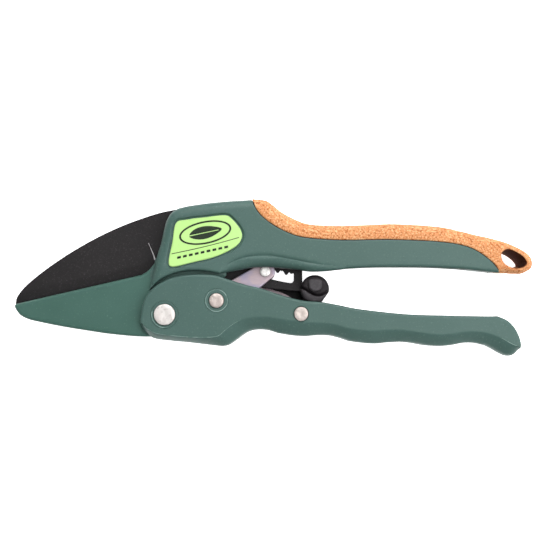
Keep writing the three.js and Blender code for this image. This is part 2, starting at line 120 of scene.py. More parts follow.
def spaced(line, gap, closed=False):
    """The same line with its points about `gap` apart."""
    line = np.array(line, float)
    if closed:
        line = np.vstack([line, line[0]])
    steps = np.hypot(*np.diff(line, axis=0).T)
    along = np.concatenate([[0], np.cumsum(steps)])
    count = max(2, int(round(along[-1] / gap)))
    marks = np.linspace(0, along[-1], count + 1)
    if closed:
        marks = marks[:-1]
    return np.column_stack([np.interp(marks, along, line[:, k]) for k in (0, 1)])


def joined(*lines):
    """Several lines end to end as one closed outline, without doubled points."""
    line = np.vstack(lines)
    keep = [0]
    for i in range(1, len(line)):
        if np.hypot(*(line[i] - line[keep[-1]])) > 0.05:
            keep.append(i)
    if np.hypot(*(line[keep[-1]] - line[0])) < 0.05:
        keep.pop()
    return line[keep]


def circle(centre, radius, sides=64):
    angles = np.linspace(0, 2 * math.pi, sides, endpoint=False)
    return np.column_stack([centre[0] + radius * np.cos(angles), centre[1] + radius * np.sin(angles)])


def area(loop):
    x, y = loop.T
    return 0.5 * np.sum(x * np.roll(y, -1) - y * np.roll(x, -1))


def away(points, line, closed=False):
    """Distance from each point to the line."""
    points = np.asarray(points, float)
    starts = np.asarray(line, float)
    ends = np.roll(starts, -1, axis=0) if closed else starts[1:]
    starts = starts if closed else starts[:-1]
    run = ends - starts
    square = np.maximum((run ** 2).sum(1), 1e-12)
    best = np.full(len(points), np.inf)
    for low in range(0, len(points), 4000):
        part = points[low: low + 4000]
        offset = part[:, None, :] - starts[None]
        t = np.clip((offset * run[None]).sum(2) / square, 0, 1)
        gap = offset - t[..., None] * run[None]
        best[low: low + 4000] = np.sqrt((gap ** 2).sum(2)).min(1)
    return best


def inside(points, loop):
    points = np.asarray(points, float)
    result = np.zeros(len(points), bool)
    ends = np.roll(loop, -1, axis=0)
    for (x1, y1), (x2, y2) in zip(loop, ends):
        if y1 == y2:
            continue
        crosses = (y1 > points[:, 1]) != (y2 > points[:, 1])
        at = (x2 - x1) * (points[:, 1] - y1) / (y2 - y1) + x1
        result ^= crosses & (points[:, 0] < at)
    return result


def smooth_step(value):
    value = np.clip(value, 0, 1)
    return value * value * (3 - 2 * value)


def rolled(distance, radius):
    """How far a rounded edge of this radius has dropped at a distance in from it."""
    inner = np.clip(radius - distance, 0, radius)
    return radius - np.sqrt(np.maximum(radius ** 2 - inner ** 2, 0))


# ---- meshes ----
MARK_SHIFTS = (-0.35, -0.12, 0.12, 0.35)        # rows of points on both sides of a marked line


def sheet(outline, holes=(), marks=(), grid=0.9, edge=0.5, rings=(0.12, 0.3, 0.6, 1.0, 1.6, 2.4, 3.4)):
    """Triangles that fill an outline, fine along its edges and along the marks."""
    loops = []
    for number, loop in enumerate([outline, *holes]):
        loop = spaced(loop, edge, closed=True) if number == 0 else loop
        if (area(loop) > 0) != (number == 0):
            loop = loop[::-1]
        loops.append(loop)
    clear = lambda points: np.min([away(points, loop, True) for loop in loops], axis=0)
    within = lambda points: np.logical_and.reduce(
        [inside(points, loops[0])] + [~inside(points, loop) for loop in loops[1:]])
    extra = []
    for loop in loops:
        normal = normals(loop, True)
        for depth in rings:
            skip = 1 if depth < edge * 3 else 2
            ring = (loop + normal * depth)[::skip]
            extra.append(ring[(clear(ring) > depth * 0.92) & within(ring)])
    for mark in marks:
        for shift in MARK_SHIFTS:
            line = mark + normals(mark) * shift
            extra.append(line[within(line) & (clear(line) > 0.25)])
    low, high = loops[0].min(0), loops[0].max(0)
    xs, ys = np.meshgrid(np.arange(low[0], high[0], grid), np.arange(low[1], high[1], grid * 0.87))
    xs[1::2] += grid / 2
    lattice = np.column_stack([xs.ravel(), ys.ravel()])
    lattice = lattice[within(lattice)]
    lattice = lattice[clear(lattice) > rings[-1] * 0.95]
    for mark in marks:
        lattice = lattice[away(lattice, mark) > 0.55]
    extra.append(lattice)
    extra = np.unique(np.round(np.vstack(extra), 3), axis=0)
    points = np.vstack([*loops, extra])
    edges, start = [], 0
    for loop in loops:
        count = len(loop)
        edges += [(start + i, start + (i + 1) % count) for i in range(count)]
        start += count
    found = delaunay_2d_cdt([Vector(p) for p in points], edges, [], 0, 1e-5)
    spots = np.array([tuple(v) for v in found[0]])
    triangles = np.array([f for f in found[2] if len(f) == 3])
    came_from = {}
    for index, sources in enumerate(found[3]):
        for source in sources:
            came_from[source] = index
    rims, start = [], 0
    for loop in loops:
        rims.append([came_from[start + i] for i in range(len(loop))])
        start += len(loop)
    triangles = triangles[kept_triangles(triangles, rims, within(spots[triangles].mean(1)))]
    used = np.unique(np.concatenate([triangles.ravel(), *rims]))
    renumber = {old: new for new, old in enumerate(used)}
    triangles = np.vectorize(renumber.get)(triangles)
    rims = [[renumber[i] for i in rim] for rim in rims]
    return spots[used], triangles, rims


def kept_triangles(triangles, rims, middle_inside):
    """A triangle on the rim is kept by the side of the rim it lies on, any other by its middle."""
    forward = {(rim[i], rim[(i + 1) % len(rim)]) for rim in rims for i in range(len(rim))}
    kept = []
    for triangle, by_middle in zip(triangles.tolist(), middle_inside):
        sides = [(triangle[0], triangle[1]), (triangle[1], triangle[2]), (triangle[2], triangle[0])]
        if any(side in forward for side in sides):
            kept.append(True)
        elif any(side[::-1] in forward for side in sides):
            kept.append(False)
        else:
            kept.append(bool(by_middle))
    return np.array(kept)


def flat(level):
    """A surface at one height, for a plate's top or bottom."""
    return lambda points: np.full(len(points), level)


def ribbon(line, offset):
    """The outline of a strip that runs along a line, as far to each side as the offset says."""
    return np.vstack([line + offset, (line - offset)[::-1]])


def normals(line, closed=False):
    """The unit direction to the left of each point of a line."""
    tangent = np.roll(line, -1, axis=0) - np.roll(line, 1, axis=0) if closed else np.gradient(line, axis=0)
    normal = np.column_stack([-tangent[:, 1], tangent[:, 0]])
    return normal / np.maximum(np.hypot(*normal.T), 1e-9)[:, None]


def add(name, data):
    made = bpy.data.objects.new(name, data)
    bpy.context.scene.collection.objects.link(made)
    return made


def make_object(name, points, faces):
    mesh = bpy.data.meshes.new(name)
    mesh.from_pydata([tuple(p) for p in np.asarray(points) * MM], [], [tuple(map(int, f)) for f in faces])
    mesh.update()
    return add(name, mesh)


def plate(name, outline, top, bottom=None, holes=(), rows=6, **options):
    """A solid plate: `top` and `bottom` give the surface heights over the sheet's points, from the middle."""
    spots, triangles, rims = sheet(outline, holes, **options)
    high = top(spots)
    low = -high if bottom is None else bottom(spots)
    count = len(spots)
    points = [np.column_stack([spots, MID + high]), np.column_stack([spots, MID + low])]
    faces = [tuple(t) for t in triangles] + [tuple(t[::-1] + count) for t in triangles]
    total = 2 * count
    for rim in rims:
        rim = np.array(rim)
        tiers = [rim]
        for row in range(1, rows):
            share = row / rows
            heights = high[rim] * (1 - share) + low[rim] * share
            points.append(np.column_stack([spots[rim], MID + heights]))
            tiers.append(np.arange(total, total + len(rim)))
            total += len(rim)
        tiers.append(rim + count)
        for upper, lower in zip(tiers, tiers[1:]):
            after_upper, after_lower = np.roll(upper, -1), np.roll(lower, -1)
            faces += list(zip(upper, lower, after_lower, after_upper))
    return make_object(name, np.vstack(points), faces)


def prism(points, low, high):
    """A throwaway straight block over an outline, for a cut."""
    loop = np.array(points, float)
    if area(loop) < 0:
        loop = loop[::-1]
    count = len(loop)
    corners = np.vstack([np.column_stack([loop, np.full(count, MID + low)]),
                         np.column_stack([loop, np.full(count, MID + high)])])
    faces = [tuple(range(count))[::-1], tuple(range(count, 2 * count))]
    faces += [(i, (i + 1) % count, count + (i + 1) % count, count + i) for i in range(count)]
    return make_object("cutter", corners, faces)


def combine(piece, others, operation="DIFFERENCE"):
    """Cuts the others out of the piece, or joins them to it, and throws them away."""
    for other in others:
        modifier = piece.modifiers.new("cut", "BOOLEAN")
        modifier.operation = operation
        modifier.object = other
        modifier.solver = "MANIFOLD"
        apply_modifiers(piece)
        bpy.data.objects.remove(other)
    return piece


def apply_modifiers(piece):
    graph = bpy.context.evaluated_depsgraph_get()
    mesh = bpy.data.meshes.new_from_object(piece.evaluated_get(graph))
    piece.modifiers.clear()
    piece.data = mesh


def shade(piece, angle=32):
    """Smooth shading, with edges sharper than the angle kept crisp."""
    mesh = piece.data
    mesh.polygons.foreach_set("use_smooth", [True] * len(mesh.polygons))
    mesh.set_sharp_from_angle(angle=math.radians(angle))
    return piece


def turned(name, centre, profile, sides=72, face=None):
    """A body turned about the upright line at `centre`; `face` may move points up or down."""
    angles = np.linspace(0, 2 * math.pi, sides, endpoint=False)
    points, rings = [], []
    for radius, height in profile:
        if radius == 0:
            rings.append([len(points)])
            points.append((centre[0], centre[1], MID + height))
            continue
        rings.append(list(range(len(points), len(points) + sides)))
        for angle in angles:
            points.append((centre[0] + radius * math.cos(angle), centre[1] + radius * math.sin(angle),
                           MID + height))
    faces = []
    for lower, upper in zip(rings, rings[1:]):
        for i in range(sides):
            after = (i + 1) % sides
            if len(lower) == 1:
                faces.append((lower[0], upper[after], upper[i]))
            elif len(upper) == 1:
                faces.append((lower[i], lower[after], upper[0]))
            else:
                faces.append((lower[i], lower[after], upper[after], upper[i]))
    points = np.array(points)
    if face is not None:
        points[:, 2] += face(points)
    return shade(make_object(name, points, faces))


def wire(name, points, radius):
    """Round wire along a smooth line of 3-D points."""
    data = bpy.data.curves.new(name, "CURVE")
    data.dimensions = "3D"
    data.bevel_depth = radius * MM
    data.bevel_resolution = 5
    data.use_fill_caps = True
    spline = data.splines.new("POLY")
    spline.points.add(len(points) - 1)
    for point, place in zip(spline.points, points):
        point.co = (*(np.array(place) * MM), 1)
    holder = add(name + "_line", data)
    graph = bpy.context.evaluated_depsgraph_get()
    mesh = bpy.data.meshes.new_from_object(holder.evaluated_get(graph))
    bpy.data.objects.remove(holder)
    return shade(add(name, mesh), 50)


# ---- materials ----
def srgb(red, green, blue):
    """An everyday 0 to 255 colour as the renderer's linear one."""
    values = [channel / 255 for channel in (red, green, blue)]
    return tuple(v / 12.92 if v <= 0.04045 else ((v + 0.055) / 1.055) ** 2.4 for v in values) + (1.0,)


class Surface:
    """A small builder for one procedural material."""

    def __init__(self, name, colour, rough, metal=0.0, shine=0.25):
        self.material = bpy.data.materials.new(name)
        self.material.use_nodes = True
        self.tree = self.material.node_tree
        self.shader = self.tree.nodes["Principled BSDF"]
        self.shader.inputs["Base Color"].default_value = colour
        self.shader.inputs["Roughness"].default_value = rough
        self.shader.inputs["Metallic"].default_value = metal
        self.shader.inputs["Specular IOR Level"].default_value = shine
        self.colour = None
        self.base = colour
        self.height = None
        self.place = self.node("ShaderNodeTexCoord").outputs["Object"]

    def node(self, kind, **settings):
        made = self.tree.nodes.new(kind)
        for key, value in settings.items():
            if hasattr(made, key):
                setattr(made, key, value)
            else:
                made.inputs[key].default_value = value
        return made

    def link(self, start, end):
        self.tree.links.new(start, end)

    def stretched(self, x, y, z):
        mapping = self.node("ShaderNodeMapping", Scale=(x, y, z))
        self.link(self.place, mapping.inputs["Vector"])
        return mapping.outputs["Vector"]

    def grain(self, scale, detail=3.0, place=None):
        texture = self.node("ShaderNodeTexNoise", Scale=scale, Detail=detail)
        self.link(place or self.place, texture.inputs["Vector"])
        return texture.outputs["Fac"]

    def cells(self, scale):
        texture = self.node("ShaderNodeTexVoronoi", Scale=scale)
        self.link(self.place, texture.inputs["Vector"])
        return texture.outputs["Distance"]

    def patches(self, scale, detail, low, high, share=1.0):
        """A 0 to 1 value that rises where the grain passes from low to high."""
        value = self.between(self.grain(scale, detail), low, high)
        return value if share == 1.0 else self.times(value, share)

    def between(self, value, low, high):
        ramp = self.node("ShaderNodeMapRange")
        ramp.inputs["From Min"].default_value = low
        ramp.inputs["From Max"].default_value = high
        self.link(value, ramp.inputs["Value"])
        return ramp.outputs["Result"]

    def times(self, value, factor):
        product = self.node("ShaderNodeMath", operation="MULTIPLY")
        self.link(value, product.inputs[0])
        product.inputs[1].default_value = factor
        return product.outputs["Value"]

    def blend(self, factor, colour):
        """Lays a colour over what is there, by a 0 to 1 value."""
        mix = self.node("ShaderNodeMix", data_type="RGBA")
        self.link(factor, mix.inputs["Factor"])
        if self.colour is None:
            mix.inputs[6].default_value = self.base
        else:
            self.link(self.colour, mix.inputs[6])
        mix.inputs[7].default_value = colour
        self.colour = mix.outputs[2]
        self.link(self.colour, self.shader.inputs["Base Color"])

    def roughness(self, value, low, high):
        spread = self.node("ShaderNodeMapRange")
        spread.inputs["To Min"].default_value = low
        spread.inputs["To Max"].default_value = high
        self.link(value, spread.inputs["Value"])
        self.link(spread.outputs["Result"], self.shader.inputs["Roughness"])

    def bump(self, value, strength, distance):
        bump = self.node("ShaderNodeBump", Strength=strength, Distance=distance * MM)
        self.link(value, bump.inputs["Height"])
        if self.height is not None:
            self.link(self.height, bump.inputs["Normal"])
        self.height = bump.outputs["Normal"]
        self.link(self.height, self.shader.inputs["Normal"])


def coating(name, colour, rough, *layers, metal=0.0, shine=0.25, polish=None, bumps=()):
    """A material with patches of colour over its base, an uneven polish and fine bumps.

    A layer is (scale, detail, low, high, share, colour), the polish (scale, detail, low, high), and a bump
    (scale, detail, strength, height in millimetres).
    """
    made = Surface(name, srgb(*colour), rough, metal, shine)
    for *grain, tint in layers:
        made.blend(made.patches(*grain), srgb(*tint))
    if polish:
        made.roughness(made.grain(*polish[:2]), *polish[2:])
    for scale, detail, strength, height in bumps:
        made.bump(made.grain(scale, detail), strength, height)
    return made.material


def cork_skin():
    surface = Surface("cork_skin", srgb(212, 144, 95), 0.78, shine=0.15)
    surface.blend(surface.patches(1500, 3, 0.5, 0.64), srgb(236, 190, 142))
    surface.blend(surface.patches(1150, 3, 0.54, 0.63, 0.9), srgb(170, 94, 52))
    surface.blend(surface.times(surface.between(surface.cells(1300), 0.24, 0.1), 0.55), srgb(150, 78, 40))
    surface.blend(surface.patches(60, 3, 0.45, 0.7, 0.2), srgb(204, 124, 76))
    surface.roughness(surface.grain(700, 3), 0.66, 0.9)
    surface.bump(surface.grain(1200, 3), 0.55, 0.12)
    return surface.material


def zinc(name, bright, dull):
    surface = Surface(name, bright, 0.4, 0.3, shine=0.5)
    surface.blend(surface.patches(300, 4, 0.45, 0.65, 0.6), dull)
    surface.blend(surface.patches(900, 3, 0.55, 0.7, 0.5), srgb(166, 158, 156))
    surface.roughness(surface.grain(420, 3), 0.3, 0.5)
    surface.bump(surface.grain(420, 3), 0.5, 0.14)
    surface.bump(surface.grain(1400, 2), 0.25, 0.04)
    return surface.material


def link_steel():
    surface = Surface("link_steel", srgb(178, 162, 170), 0.36, 0.5, shine=0.4)
    lines = surface.grain(500, 3, surface.stretched(1.0, 9.0, 1.0))
    surface.blend(surface.times(surface.between(lines, 0.4, 0.7), 0.5), srgb(198, 178, 178))
    surface.blend(surface.patches(110, 2, 0.44, 0.6, 0.7), srgb(146, 148, 182))
    surface.roughness(lines, 0.28, 0.48)
    surface.bump(lines, 0.3, 0.04)
    return surface.material


def glowing_white(name, rough, glow, scale):
    """A white that stays white in the picture, for the floor and the boards round it."""
    surface = Surface(name, (0.9, 0.9, 0.9, 1), rough)
    surface.shader.inputs["Emission Color"].default_value = (1, 1, 1, 1)
    surface.shader.inputs["Emission Strength"].default_value = glow
    surface.bump(surface.grain(scale, 2), 0.02, 0.1)
    return surface.material


FLOOR = glowing_white("pale_floor", 0.7, 0.97, 60)
BOARD = glowing_white("white_board", 0.8, 1.0, 2)
GREEN = coating("green_paint", (71, 98, 92), 0.42, (45, 4, 0.35, 0.7, 0.5, (63, 91, 84)),
                (1400, 2, 0.6, 0.8, 0.4, (112, 138, 131)), (900, 2, 0.62, 0.75, 0.35, (52, 78, 72)),
                shine=0.32, polish=(220, 3, 0.36, 0.52), bumps=[(1500, 2, 0.35, 0.03), (160, 2, 0.2, 0.12)])
JAW_GREEN = coating("jaw_paint", (66, 99, 90), 0.45, (60, 4, 0.35, 0.7, 0.5, (57, 90, 80)),
                    (1300, 2, 0.62, 0.8, 0.4, (104, 136, 128)),
                    polish=(240, 3, 0.38, 0.55), bumps=[(1400, 2, 0.35, 0.03)])
# Lighter green for the anvil strip: painted highlight along the anvil's top edge.
ANVIL_HIGHLIGHT = coating("anvil_highlight_paint", (112, 138, 131), 0.4, (500, 3, 0.5, 0.75, 0.6, (84, 112, 105)),
                bumps=[(900, 2, 0.3, 0.03)])
# Lighter green: painted highlight along the lower handle's edges, and part wear, part painted highlight on
# the rings' rims.
WEAR_AND_HIGHLIGHT = coating("worn_and_highlight_edge", (128, 152, 146), 0.4, (350, 4, 0.45, 0.6, 0.9, (88, 116, 110)),
               bumps=[(900, 2, 0.3, 0.03)])
CORK = cork_skin()
# Dark brown for the hang hole's wall: painted shade inside the hole.
BORE_SHADE = coating("cork_bore_shade", (112, 66, 44), 0.8, (900, 3, 0.5, 0.66, 0.6, (70, 38, 24)),
               shine=0.1, bumps=[(900, 3, 0.5, 0.1)])
LIME = coating("label_print", (182, 226, 136), 0.38, (70, 3, 0.4, 0.7, 0.3, (197, 236, 156)),
               (1600, 2, 0.6, 0.75, 0.25, (160, 204, 114)), shine=0.35, bumps=[(600, 2, 0.12, 0.03)])
PRINT = coating("dark_print", (30, 44, 30), 0.45, (900, 2, 0.5, 0.7, 0.4, (46, 62, 42)),
                bumps=[(900, 2, 0.2, 0.02)])
BLACK = coating("coated_blade", (38, 36, 37), 0.5, (900, 3, 0.55, 0.72, 0.6, (50, 47, 49)),
                (2200, 2, 0.62, 0.72, 0.5, (80, 76, 78)), (35, 4, 0.45, 0.7, 0.35, (28, 26, 28)),
                shine=0.18, polish=(120, 4, 0.42, 0.6), bumps=[(1300, 3, 0.4, 0.04)])
# A bright grey for the mark beside the blade's heel: a rub scratch, painted bright as a highlight.
SCRATCH_GLINT = coating("bright_scratch_glint", (190, 188, 190), 0.3, (800, 3, 0.5, 0.7, 0.6, (130, 128, 130)),
                  metal=0.5, polish=(600, 2, 0.25, 0.5))
ZINC = zinc("zinc", srgb(226, 221, 217), srgb(200, 190, 186))
# Lighter copy of the zinc for the link pin's head: painted light offsetting the shade it sits in.
ZINC_PAINTED_LIGHTER = zinc("zinc_painted_lighter", srgb(250, 248, 245), srgb(238, 234, 230))
WARM_ZINC = zinc("warm_zinc", srgb(200, 188, 181), srgb(180, 166, 162))
STEEL = link_steel()
WIRE = coating("spring_wire", (150, 147, 150), 0.3, (700, 3, 0.5, 0.7, 0.5, (120, 118, 122)),
               metal=0.7, polish=(500, 2, 0.22, 0.42))
DARK = coating("knob_plastic", (28, 24, 27), 0.5, (500, 3, 0.45, 0.7, 0.5, (44, 39, 43)),
               shine=0.22, polish=(300, 3, 0.42, 0.62), bumps=[(1100, 2, 0.35, 0.05)])
PAD = coating("pad_plastic", (62, 59, 62), 0.55, (700, 3, 0.45, 0.7, 0.5, (82, 79, 82)),
              bumps=[(1100, 2, 0.35, 0.05)])


def second_material(piece, material, where):
    """Gives another material to the faces whose middle, in millimetres, passes the test."""
    piece.data.materials.append(material)
    for face in piece.data.polygons:
        if where(np.array(face.center) / MM, face.normal):
            face.material_index = 1


def finish_piece(piece, material, body, *nodes, slot=None):
    piece.data.materials.clear()
    piece.data.materials.append(material)
    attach(piece, body)
    if nodes:
        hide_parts(*nodes)
    return piece


# ---- outlines of the castings ----
JAW_TIP = np.array([-60.6, 4.5])
JAW_HEEL = np.array([-10.1, 16.2])


def jaw_top(x):
    share = (x - JAW_TIP[0]) / (JAW_HEEL[0] - JAW_TIP[0])
    return JAW_TIP[1] + share * (JAW_HEEL[1] - JAW_TIP[1])


RIM = curve([(34.3, 46.4), (29.5, 46.1), (24.7, 45.8), (17.4, 45.1), (10.2, 44.1), (7.1, 43.5), (4.3, 42.6),
             (1.9, 40.8), (0.1, 37.6), (-1.0, 33.4), (-1.8, 29.4), (-2.9, 25.8), (-3.9, 22.2), (-4.7, 17.8),
             (-5.6, 13.4), (-6.4, 9.8)])
LOBE_ARC = curve([(-4.8, 11.7), (-2, 14.0), (1.5, 15.8), (6, 17.2), (11.1, 17.8), (16.5, 17.4), (21.3, 16.6)])
LIP = curve([(21.3, 16.6), (26.2, 17.4), (30.3, 18.2), (34.3, 19), (40.3, 19.3), (46.6, 18.8), (52.7, 18),
             (58.7, 17.2), (65, 17.4), (72.3, 18.2)])
UNDERSIDE = curve([(72.3, 18.2), (83.4, 18.8), (92.5, 18.9), (104.7, 18.8), (117.9, 18.2), (125.9, 17.4),
                   (133.4, 16.6)])
RIDGE = curve([(22.1, 17.6), (25, 20), (30.3, 22.5), (36.3, 23.5), (42.3, 23.5), (48.6, 22.5), (54.7, 21.3),
               (60.7, 20.2), (67, 19.4), (72.3, 18.6)])
BORDER = curve([(34.5, 47), (36.7, 41.7), (41.7, 36.9), (48.9, 32.9), (56.2, 30.8), (71.1, 29.8), (89.4, 30),
                (109.8, 29.1), (121.7, 26.8), (129.9, 21.6), (134.2, 16.2)], per=12)
GRIP_OUTER = curve([(35.4, 46.8), (40.2, 46.2), (43.1, 44.3), (46.5, 41.5), (51.4, 38.8), (56.3, 36.9),
                    (62, 36.2), (71.3, 36), (80.6, 36.3), (89.9, 36.7), (99.1, 36.4), (110.4, 35.5),
                    (118.5, 33.8), (124.5, 32.3), (130.8, 30.9), (137, 29.1), (143.1, 26.3), (146.3, 23.8),
                    (147.4, 21.2), (147.1, 19.1), (145.9, 17.7), (142.6, 16.2), (139.1, 16.5), (134.7, 16.4)])
HANG_HOLE = curve([(134.4, 23.8), (136.2, 26), (139.1, 25.7), (142.9, 23.3), (144.5, 20.6), (142.8, 18.8),
                   (139.2, 18.7), (135.7, 20.5)], closed=True)
LABEL = curve([(4.2, 36.6), (8.8, 38.1), (16, 39), (23.6, 39.8), (26.6, 38.4), (30.2, 33.8), (30.4, 30.2),
               (27.6, 26.8), (19.9, 23.1), (10.3, 20.7), (3, 19.1), (1.4, 21.3), (2.8, 28.7)], closed=True)
GAP = 0.04                      # half the seam between handle and grip
RIM_ROUND = 3.4                 # roundings of the casting's edges
RIM_SHARE = 0.85
ARC_ROUND = 0.9
UNDERSIDE_ROUND = 1.3
BORDER_ROUND = 0.55
LIP_DROP = 2.9
CREASE_DEPTH = 0.5
CREASE_WIDTH = 0.4
LABEL_RECESS = 0.85
LABEL_MARGIN = 0.95
CORK_ROUND = 4.4
CORK_SHARE = 0.92
CORK_GRAIN = 0.09               # size of the cork's uneven skin


def shifted(line, dx, dy):
    return line + np.array([dx, dy])


def body_outline():
    border = shifted(BORDER, -GAP, -GAP)[::-1]
    border = border[(border[:, 1] < 46.0) & (border[:, 1] > 17.2)]
    return joined(RIM, LOBE_ARC, LIP, UNDERSIDE, border)


def grip_outline():
    border = shifted(BORDER, GAP, GAP)[::-1]
    border = border[(border[:, 1] < 46.7) & (border[:, 1] > 17.0)]
    return joined(GRIP_OUTER, border)


def edge_drop(points):
    """How far the casting's rounded edges have dropped from its flat faces."""
    return (rolled(away(points, RIM), RIM_ROUND) * RIM_SHARE + rolled(away(points, LOBE_ARC), ARC_ROUND)
            + rolled(away(points, UNDERSIDE), UNDERSIDE_ROUND) + rolled(away(points, BORDER), BORDER_ROUND))


def body_height(points):
    """The front face, with the lip under its crease and the label's recess."""
    height = HALF - edge_drop(points)
    ridge_y = np.interp(points[:, 0], RIDGE[:, 0], RIDGE[:, 1])
    under = (points[:, 1] < ridge_y) & (points[:, 0] > RIDGE[0, 0]) & (points[:, 0] < RIDGE[-1, 0])
    from_ridge = away(points, RIDGE)
    from_lip = away(points, LIP)
    share = from_ridge / np.maximum(from_ridge + from_lip, 1e-6)
    ends = smooth_step((points[:, 0] - 21) / 8) * smooth_step((73 - points[:, 0]) / 22)
    height -= np.where(under, LIP_DROP * (1 - np.sqrt(1 - 0.96 * share ** 2)) * (0.25 + 0.75 * ends), 0)
    height -= CREASE_DEPTH * np.exp(-(from_ridge / CREASE_WIDTH) ** 2) * ends
    to_label = away(points, LABEL, True)
    to_label = np.where(inside(points, LABEL), -to_label, to_label)
    return height - LABEL_RECESS * smooth_step((LABEL_MARGIN - to_label) / 0.4)


def back_height(points):
    """The back face, flat where the tool lies, without the label's recess."""
    return edge_drop(points) - HALF


def jaw_outline():
    top = spaced([JAW_HEEL, JAW_TIP], 0.6)
    nose = curve([JAW_TIP, (-61, 3.5), (-60.1, 1.7), (-58.3, -0.3), (-55.3, -1.7), (-52.7, -2.4), (-45, -4),
                  (-37.2, -5.4), (-29.5, -6.6), (-22.6, -7.6), (-12, -8.6), (-5, -8.7), (0, -8.8), (5, -7.4),
                  (8.6, -4), (10.4, 0), (11.4, 6), (12.4, 11.6), (14.5, 13.6), (19, 14.4), (23, 15),
                  (24.4, 16.6), (24, 24)])
    fillet = curve([(0, 26), (-4.3, 22.9), (-5, 20.9), (-7.3, 18.1), JAW_HEEL])
    return joined(top, nose, fillet)


def draft(piece):
    """Draws the rear of the handle's underside up a little, as the moulded part does towards its back."""
    for vertex in piece.data.vertices:
        x, y, z = vertex.co / MM
        low_part = smooth_step((21.5 - y) / 3) * smooth_step((x - 44) / 12)
        vertex.co.y += 1.3 * MM * float(low_part) * (1 - min(max((z - 2) / (2 * HALF - 2), 0), 1))


def upper_casting():
    label_marks = [spaced(LABEL, 0.5, True), spaced(ring_around(LABEL, 0.75), 0.5, True)]
    body = plate("upper_casting", body_outline(), body_height, back_height,
                 marks=[spaced(RIDGE, 0.5), *label_marks])
    outline = jaw_outline()
    top_edge = spaced([JAW_TIP, JAW_HEEL], 1.0)
    fillet = curve([(-4.3, 22.9), (-5, 20.9), (-7.3, 18.1), JAW_HEEL])

    def jaw_height(points):
        height = JAW_HALF - rolled(away(points, outline, True), 1.1)
        edge = np.minimum(away(points, top_edge), away(points, fillet))
        return height - np.clip(0.7 - edge, 0, 0.7) * 0.6

    jaw = plate("jaw", outline, jaw_height)
    combine(body, [jaw], "UNION")
    slot = [(-70, jaw_top(-70)), (-10, jaw_top(-10)), (-6.4, 18), (-3, 19.6), (6, 18.6), (13, 16), (13, 8),
            (60, 4), (60, 27), (30, 30), (22, 36), (22, 60), (-70, 60)]
    hollow = [(12.6, -20), (12.6, 14.5), (22, 19.5), (34, 24), (58, 25), (66, 22.6), (84, 24.4), (104, 24.4),
              (122, 22.4), (122, 6), (80, 0), (40, -20)]
    gate = [(-6.4, 0), (2, -9.8), (13, -9.8), (13, 3), (4, 6)]
    strip = [(-57.3, jaw_top(-57.3) + 1), (-57.3, jaw_top(-57.3) - 1.9), (-11.7, jaw_top(-11.7) - 1.9),
             (-11.7, jaw_top(-11.7) + 1)]
    tongue = tongue_outline(0)
    combine(body, [prism(tongue, -4.6, 4.6)], "UNION")
    combine(body, [
        prism(slot, -BLADE_HALF - 0.3, BLADE_HALF + 0.3),
        prism(hollow, -CAVITY_HALF, CAVITY_HALF),
        prism(circle(MAIN, 6.6), -3.1, 3.1),
        prism(gate, -3.1, 3.1),
        prism(circle(MAIN, SHAFT_ROOM), -HALF - 1, HALF + 1),
        prism(circle(BLADE_PIVOT, SMALL_SHAFT_ROOM), -8.8, 8.8),
        prism(strip, -4.5, 4.5),
    ])
    draft(body)
    shade(body)
    finish_piece(body, GREEN, "upper", "upper_handle")

    def on_jaw(place, normal):
        x, y, z = place
        return x < CHEEK_FRONT or (abs(z - MID) < JAW_HALF + 0.2 and x < 20 and y < 12)

    second_material(body, JAW_GREEN, on_jaw)


def ring_around(loop, distance):
    """The loop moved outwards by a distance."""
    loop = spaced(loop, 0.6, True)
    return loop - normals(loop, True) * np.sign(area(loop)) * distance


def tongue_outline(pad):
    low = BORDER[(BORDER[:, 0] > 47) & (BORDER[:, 0] < 121)][::3]
    return np.vstack([low - [0, 2], (low + [pad, 2.6 + pad])[::-1]])


def cork_grip():
    outline = grip_outline()
    rim = spaced(GRIP_OUTER, 0.5)
    hole = spaced(HANG_HOLE, 0.4, True)

    def height(points):
        return (HALF - rolled(away(points, rim), CORK_ROUND) * CORK_SHARE - rolled(away(points, BORDER), 0.8)
                - rolled(away(points, hole, True), 1.0))

    grip = plate("cork_grip_skin", outline, height, holes=[hole], grid=0.5, edge=0.45,
                 rings=(0.12, 0.3, 0.55, 0.9, 1.3, 1.8, 2.4), rows=24)
    combine(grip, [prism(tongue_outline(0.3), -4.9, 4.9)])
    for vertex in grip.data.vertices:
        place = vertex.co / MM
        if place.z < MID - HALF + 0.02:
            continue
        bump = noise.fractal(place * 1.3, 0.8, 2.0, 3) * CORK_GRAIN
        vertex.co += vertex.normal * (min(bump, 0.02) * MM)
    draft(grip)
    shade(grip, 40)
    finish_piece(grip, CORK, "upper", "cork_grip")
    # The hang hole's wall takes the painted shade.
    second_material(grip, BORE_SHADE, lambda place, normal: abs(normal.z) < 0.45
                    and away([place[:2]], hole, True)[0] < 0.5)


def seam_shadow():
    """A painted shadow: a dark strip in the groove of the joint between the handle and its grip."""
    line = spaced(BORDER, 0.6)
    line = line[(line[:, 1] < 45.6) & (line[:, 1] > 17.4)]
    half_width, near, deep = 0.15, 0.25, 0.6
    loop = ribbon(line, half_width * normals(line))
    for word, top, under in (("front", HALF - near, HALF - deep), ("back", deep - HALF, near - HALF)):
        seam = plate(f"seam_shadow_{word}", loop, flat(top), flat(under), rows=1, edge=0.4, grid=3.0,
                     rings=(0.05,))
        # Dark strip: painted shade in the joint's groove.
        finish_piece(seam, DARK, "upper", slot="green_paint")


# ---- label ----
def bar(corner, length, height):
    """A small slanted printed bar."""
    x, y = corner
    return np.array([(x, y), (x + length, y + 0.23 * length), (x + length - 0.1, y + 0.23 * length + height),
                     (x - 0.1, y + height)])


